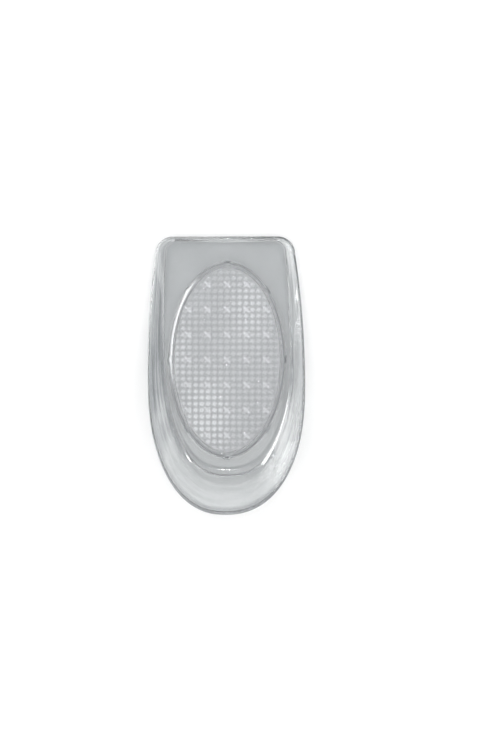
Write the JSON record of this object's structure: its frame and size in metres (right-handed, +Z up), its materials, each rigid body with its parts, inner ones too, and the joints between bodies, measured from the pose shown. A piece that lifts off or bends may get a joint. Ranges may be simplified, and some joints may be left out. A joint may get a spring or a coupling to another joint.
{
  "type": "heel cup",
  "caption": "Clear soft gel heel cup with a flared wall, a flat front edge and an oval studded cushion pad set in its floor.",
  "frame": {"origin": "on the surface that the cup rests on, under the middle of its overall box", "axes": "+Y points to the flat front edge, -Y to the back of the heel, +X to the right seen from above, +Z up"},
  "size_m": [0.065, 0.114, 0.025],
  "materials": {
    "shell_gel": "clear soft silicone gel, glossy, with a faint cool grey tint",
    "pad_gel": "clear softer silicone gel, glossy, with a faint neutral grey tint"
  },
  "bodies": {
    "root": {"cup_body": "shell_gel", "heel_pad": "pad_gel"}
  },
  "joints": []
}
